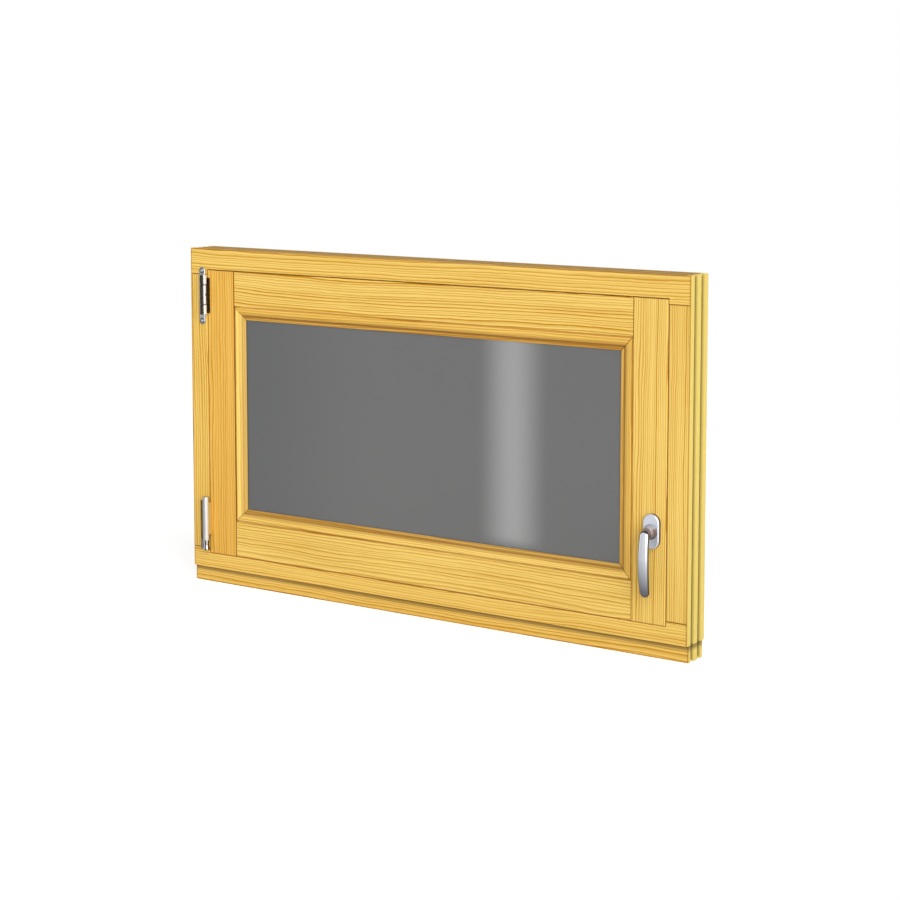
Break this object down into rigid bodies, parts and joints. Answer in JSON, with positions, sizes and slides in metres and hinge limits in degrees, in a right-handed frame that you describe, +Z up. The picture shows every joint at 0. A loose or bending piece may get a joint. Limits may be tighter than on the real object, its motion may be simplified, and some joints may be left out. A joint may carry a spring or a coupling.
{
  "type": "tilt and turn window",
  "caption": "Small timber window with an inward-opening sash, insulating glass, a turning lever handle, exposed side hinges and a rain rail on the sill.",
  "frame": {"origin": "middle of the sill's bottom face, at half the frame's depth", "axes": "+Z up, +X to the handle side as seen from the room, +Y out through the wall to the weather side"},
  "size_m": [1, 0.0935, 0.6],
  "materials": {
    "pine": "clear satin lacquer",
    "handle_silver": "satin silver anodised",
    "hinge_steel": "satin nickel plated",
    "gear_steel": "zinc plated",
    "rail_aluminium": "mill finish",
    "clear_glass": "clear float glass",
    "spacer_aluminium": "mill finish",
    "black_rubber": "matt",
    "block_plastic": "matt",
    "cap_plastic": "matt"
  },
  "bodies": {
    "window": {"frame_head": "pine", "frame_jamb_hinge": "pine", "frame_jamb_handle": "pine", "frame_sill": "pine", "sash_stile_hinge": "pine", "sash_stile_handle": "pine", "sash_rail_top": "pine", "sash_rail_bottom": "pine", "bead_top": "pine", "bead_bottom": "pine", "bead_left": "pine", "bead_right": "pine", "pane_inner": "clear_glass", "pane_outer": "clear_glass", "pane_spacer": "spacer_aluminium", "glazing_seal_inner": "black_rubber", "glazing_seal_outer": "black_rubber", "setting_block_hinge": "block_plastic", "setting_block_handle": "block_plastic", "weatherstrip": "black_rubber", "rain_rail": "rail_aluminium", "rain_rail_cap_hinge": "cap_plastic", "rain_rail_cap_handle": "cap_plastic", "upper_hinge_plate": "hinge_steel", "upper_hinge_leaf": "hinge_steel", "upper_hinge_pin": "hinge_steel", "lower_hinge_bracket": "hinge_steel", "lower_hinge_pin": "hinge_steel", "lower_hinge_sleeve": "hinge_steel", "handle_rosette": "handle_silver", "gear_case": "gear_steel", "gear_rail": "gear_steel", "keeper_lower": "gear_steel", "keeper_upper": "gear_steel"},
    "handle": {"handle_lever": "handle_silver", "handle_spindle": "gear_steel"}
  },
  "joints": [
    {"name": "handle_turn", "type": "hinge", "parent": "window", "child": "handle", "pos_m": [0.4382, -0.028, 0.201], "axis": [0, 1, 0], "range_deg": [0, 180]}
  ]
}
